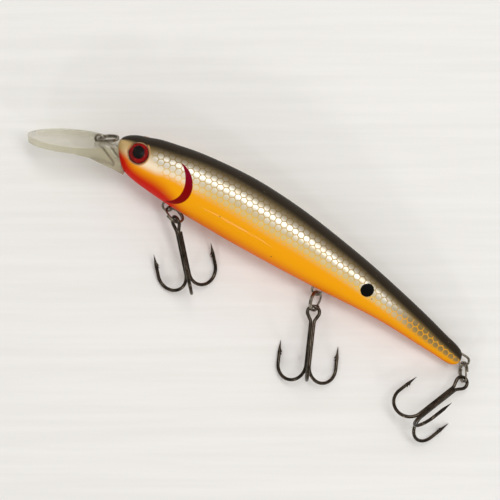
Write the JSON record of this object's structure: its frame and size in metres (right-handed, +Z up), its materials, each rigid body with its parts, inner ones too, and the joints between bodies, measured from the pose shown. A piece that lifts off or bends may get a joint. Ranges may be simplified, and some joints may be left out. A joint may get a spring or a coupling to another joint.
{
  "type": "crankbait lure",
  "caption": "Deep-diving minnow crankbait with a hollow painted body, clear diving lip, inside ballast and rattles, and treble hooks hung on split rings from wire eyes.",
  "frame": {"origin": "on the surface the lure lies on, under the middle of its bounding box", "axes": "+X from nose to tail, +Y towards the fish's back, +Z up from the surface; the lure lies on its right side"},
  "size_m": [0.1486, 0.0448, 0.0184],
  "materials": {
    "painted_shell": "gloss clear-coated paint over pearl, orange belly and dark back",
    "clear_lip": "clear polycarbonate with a faint yellow cast, lightly scratched",
    "black_nickel": "black-nickel plated wire, semi-gloss",
    "nickel_wire": "darkened nickel plate",
    "split_ring_steel": "flattened nickel-plated spring wire, darkened",
    "ballast_steel": "plain steel rod",
    "rattle_steel": "polished ball",
    "eye_print": "red foil iris with a black pupil",
    "eye_clear": "clear domed resin"
  },
  "bodies": {
    "lure_body": {"body_shell_left": "painted_shell", "body_shell_right": "painted_shell", "diving_lip": "clear_lip", "line_tie_wire": "nickel_wire", "front_hook_hanger": "nickel_wire", "rear_hook_hanger": "nickel_wire", "tail_hook_hanger": "nickel_wire", "belly_ballast": "ballast_steel", "eye_disc_left": "eye_print", "eye_disc_right": "eye_print", "eye_dome_left": "eye_clear", "eye_dome_right": "eye_clear"},
    "line_tie_ring": {"line_tie_split_ring": "split_ring_steel"},
    "front_ring": {"front_split_ring": "split_ring_steel"},
    "front_treble": {"front_double_hook": "black_nickel", "front_single_hook": "black_nickel"},
    "rear_ring": {"rear_split_ring": "split_ring_steel"},
    "rear_treble": {"rear_double_hook": "black_nickel", "rear_single_hook": "black_nickel"},
    "tail_ring": {"tail_split_ring": "split_ring_steel"},
    "tail_treble": {"tail_double_hook": "black_nickel", "tail_single_hook": "black_nickel"},
    "rattle_1": {"rattle_ball_1": "rattle_steel"},
    "rattle_2": {"rattle_ball_2": "rattle_steel"},
    "rattle_3": {"rattle_ball_3": "rattle_steel"}
  },
  "joints": [
    {"name": "line_tie_ring_swing", "type": "hinge", "parent": "lure_body", "child": "line_tie_ring", "pos_m": [-0.05587, 0.0078, 0.01047], "axis": [0.0574, -0.342, 0.9379], "range_deg": [0, 155]},
    {"name": "front_ring_swing", "type": "hinge", "parent": "lure_body", "child": "front_ring", "pos_m": [-0.02761, 0.0017, 0.00652], "axis": [0.2785, 0.9077, 0.3139], "range_deg": [-40, 40]},
    {"name": "front_treble_swing", "type": "hinge", "parent": "front_ring", "child": "front_treble", "pos_m": [-0.02462, -0.0005, 0.00926], "axis": [-0.8514, -0.169, 0.4966], "range_deg": [-90, 25]},
    {"name": "rear_ring_swing", "type": "hinge", "parent": "lure_body", "child": "rear_ring", "pos_m": [0.0211, 0.00354, 0.00421], "axis": [0.9203, 0.3822, 0.0831], "range_deg": [-45, 45]},
    {"name": "rear_treble_swing", "type": "hinge", "parent": "rear_ring", "child": "rear_treble", "pos_m": [0.02295, -0.00075, 0.00358], "axis": [-0.411, -0.303, 0.8598], "range_deg": [-50, 15]},
    {"name": "tail_ring_swing", "type": "hinge", "parent": "lure_body", "child": "tail_ring", "pos_m": [0.0684, 0.00927, 0.00341], "axis": [0.8575, 0.498, 0.1291], "range_deg": [-40, 40]},
    {"name": "tail_treble_swing", "type": "hinge", "parent": "tail_ring", "child": "tail_treble", "pos_m": [0.07078, 0.0052, 0.00333], "axis": [0.1961, 0.0961, 0.9759], "range_deg": [-10, 110]},
    {"name": "rattle_1_slide", "type": "slide", "parent": "lure_body", "child": "rattle_1", "axis": [0.0574, -0.342, 0.9379], "range_m": [0, 0.00608]},
    {"name": "rattle_2_slide", "type": "slide", "parent": "lure_body", "child": "rattle_2", "axis": [0.0574, -0.342, 0.9379], "range_m": [0, 0.00536]},
    {"name": "rattle_3_slide", "type": "slide", "parent": "lure_body", "child": "rattle_3", "axis": [0.0574, -0.342, 0.9379], "range_m": [0, 0.00317]}
  ]
}
